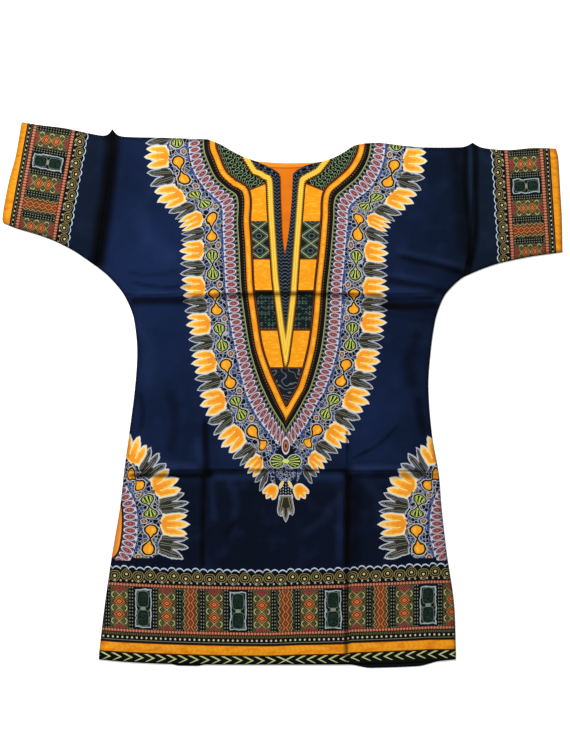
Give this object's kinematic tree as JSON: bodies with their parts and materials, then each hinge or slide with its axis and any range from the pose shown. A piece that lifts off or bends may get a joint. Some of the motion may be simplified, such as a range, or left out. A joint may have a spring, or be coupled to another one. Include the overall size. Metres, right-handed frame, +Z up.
{
  "type": "dashiki shirt",
  "caption": "Short-sleeved pullover shirt of printed cotton, laid flat and face up, with a round neckline, a narrow neck slit and a flared hem.",
  "frame": {"origin": "centre of the shirt's outline as it lies, on the surface under it", "axes": "+Z up from the surface to the front of the shirt, +Y towards the neck, +X towards the wearer's left sleeve"},
  "size_m": [0.9243, 0.901, 0.0064],
  "materials": {
    "printed_cotton": "matt plain-weave cotton, navy ground with a printed neck panel, side medallions and borders in orange, yellow, rust, black and cream"
  },
  "bodies": {
    "root": {"back": "printed_cotton", "front": "printed_cotton", "sleeve_left": "printed_cotton", "sleeve_right": "printed_cotton"}
  },
  "joints": []
}
